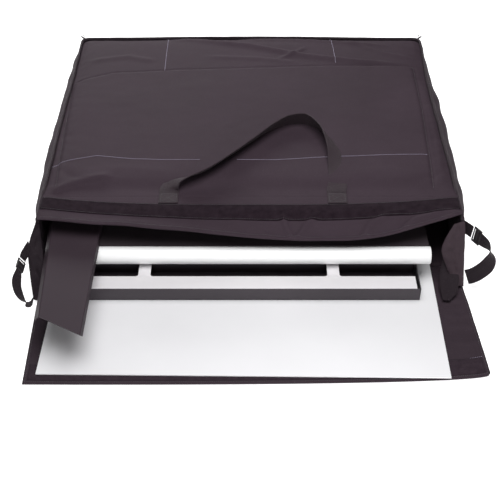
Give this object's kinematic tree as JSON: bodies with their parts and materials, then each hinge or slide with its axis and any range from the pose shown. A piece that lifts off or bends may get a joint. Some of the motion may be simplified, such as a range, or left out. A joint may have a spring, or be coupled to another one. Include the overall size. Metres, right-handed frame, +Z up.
{
  "type": "packed stand in padded carry bag",
  "caption": "Padded nylon carry bag lying open, with a knocked-down stand's board, deck, cable rail and folded steel legs sliding out of its mouth.",
  "frame": {"origin": "centre of the base panel's underside, where the bag lies on the floor", "axes": "+Z up, +X to the right seen from the mouth, +Y from the mouth to the closed back; the mouth and its flap face -Y"},
  "size_m": [1.2023, 1.35, 0.2236],
  "materials": {
    "nylon_top": "woven black nylon over foam",
    "nylon_base": "woven black nylon over foam",
    "webbing": "ribbed black nylon webbing",
    "grip_tape": "hook and loop tape",
    "white_board": "smooth white laminate",
    "white_metal": "satin white powder coat",
    "ledge_metal": "satin",
    "black_metal": "fine-textured black powder coat",
    "deck_mat": "matt rubber",
    "black_plastic": "moulded black plastic",
    "stiffener": "black plastic sheet"
  },
  "bodies": {
    "bag": {"base_panel": "nylon_base", "top_panel": "nylon_top", "top_stiffener": "stiffener", "gusset_left": "nylon_base", "gusset_right": "nylon_base", "gusset_back": "nylon_base", "edge_binding_left": "webbing", "edge_binding_right": "webbing", "edge_binding_back": "webbing", "closing_flap": "nylon_base", "hook_tape": "grip_tape", "side_wing_left": "nylon_base", "side_wing_right": "nylon_base", "strap_tab_left": "webbing", "strap_tab_right": "webbing"},
    "hem": {"mouth_hem": "nylon_top", "loop_tape": "grip_tape", "handle_patch_left": "webbing", "handle_patch_right": "webbing"},
    "handle": {"carry_handle": "webbing"},
    "strap_left": {"strap_loop_left": "webbing", "ladder_lock_left": "black_plastic"},
    "strap_right": {"strap_loop_right": "webbing", "ladder_lock_right": "black_plastic"},
    "board": {"desk_board": "white_board"},
    "rail": {"rail_channel": "black_metal", "rail_cap_left": "black_plastic", "rail_cap_right": "black_plastic", "cable_ledge": "ledge_metal"},
    "deck": {"deck_sheet": "white_metal", "deck_mat": "deck_mat", "deck_cheek_left": "white_metal", "deck_cheek_right": "white_metal", "front_tube": "white_metal", "front_tube_cap_left": "white_metal", "front_tube_cap_right": "white_metal", "rear_tube": "white_metal", "rear_tube_cap_left": "white_metal", "rear_tube_cap_right": "white_metal", "leg_bracket_front_left": "black_metal", "leg_bracket_front_right": "black_metal", "leg_bracket_rear_left": "black_metal", "leg_bracket_rear_right": "black_metal"},
    "knob_front_left": {"hand_knob_front_left": "black_plastic"},
    "knob_front_right": {"hand_knob_front_right": "black_plastic"},
    "knob_rear_left": {"hand_knob_rear_left": "black_plastic"},
    "knob_rear_right": {"hand_knob_rear_right": "black_plastic"},
    "leg_outer_left": {"leg_outer_left": "black_metal"},
    "leg_inner_left": {"leg_inner_left": "black_metal"},
    "leg_inner_right": {"leg_inner_right": "black_metal"},
    "leg_outer_right": {"leg_outer_right": "black_metal"}
  },
  "joints": [
    {"name": "hem_lift", "type": "hinge", "parent": "bag", "child": "hem", "pos_m": [0, -0.3743, 0.17], "axis": [-1, 0, 0], "range_deg": [0, 25]},
    {"name": "handle_swing", "type": "hinge", "parent": "bag", "child": "handle", "pos_m": [0, -0.3725, 0.173], "axis": [1, 0, 0], "range_deg": [0, 95]},
    {"name": "strap_left_swing", "type": "hinge", "parent": "bag", "child": "strap_left", "pos_m": [-0.5734, -0.5551, 0.1005], "axis": [0.34, -0.6425, -0.6867], "range_deg": [-10, 10]},
    {"name": "strap_right_swing", "type": "hinge", "parent": "bag", "child": "strap_right", "pos_m": [0.5676, -0.4704, 0.1173], "axis": [-0.1473, -0.6263, -0.7656], "range_deg": [-10, 10]},
    {"name": "board_slide", "type": "slide", "parent": "bag", "child": "board", "axis": [0, -1, 0], "range_m": [-0.4, 0.7]},
    {"name": "rail_slide", "type": "slide", "parent": "bag", "child": "rail", "axis": [0, -1, 0], "range_m": [-0.5, 0.4]},
    {"name": "deck_slide", "type": "slide", "parent": "bag", "child": "deck", "axis": [0, -1, 0], "range_m": [-0.4, 0.87]},
    {"name": "leg_outer_left_slide", "type": "slide", "parent": "bag", "child": "leg_outer_left", "axis": [0, -1, 0], "range_m": [-0.38, 0.87]},
    {"name": "leg_inner_left_slide", "type": "slide", "parent": "bag", "child": "leg_inner_left", "axis": [0, -1, 0], "range_m": [-0.05, 1.3]},
    {"name": "leg_inner_right_slide", "type": "slide", "parent": "bag", "child": "leg_inner_right", "axis": [0, -1, 0], "range_m": [-0.05, 1.3]},
    {"name": "leg_outer_right_slide", "type": "slide", "parent": "bag", "child": "leg_outer_right", "axis": [0, -1, 0], "range_m": [-0.05, 1.3]},
    {"name": "knob_front_left_spin", "type": "hinge", "parent": "deck", "child": "knob_front_left", "pos_m": [-0.447, -0.4277, 0.082], "axis": [0, 0, 1], "continuous": true},
    {"name": "knob_front_right_spin", "type": "hinge", "parent": "deck", "child": "knob_front_right", "pos_m": [0.391, -0.4277, 0.082], "axis": [0, 0, 1], "continuous": true},
    {"name": "knob_rear_left_spin", "type": "hinge", "parent": "deck", "child": "knob_rear_left", "pos_m": [-0.447, -0.1383, 0.082], "axis": [0, 0, 1], "continuous": true},
    {"name": "knob_rear_right_spin", "type": "hinge", "parent": "deck", "child": "knob_rear_right", "pos_m": [0.391, -0.1383, 0.082], "axis": [0, 0, 1], "continuous": true}
  ]
}
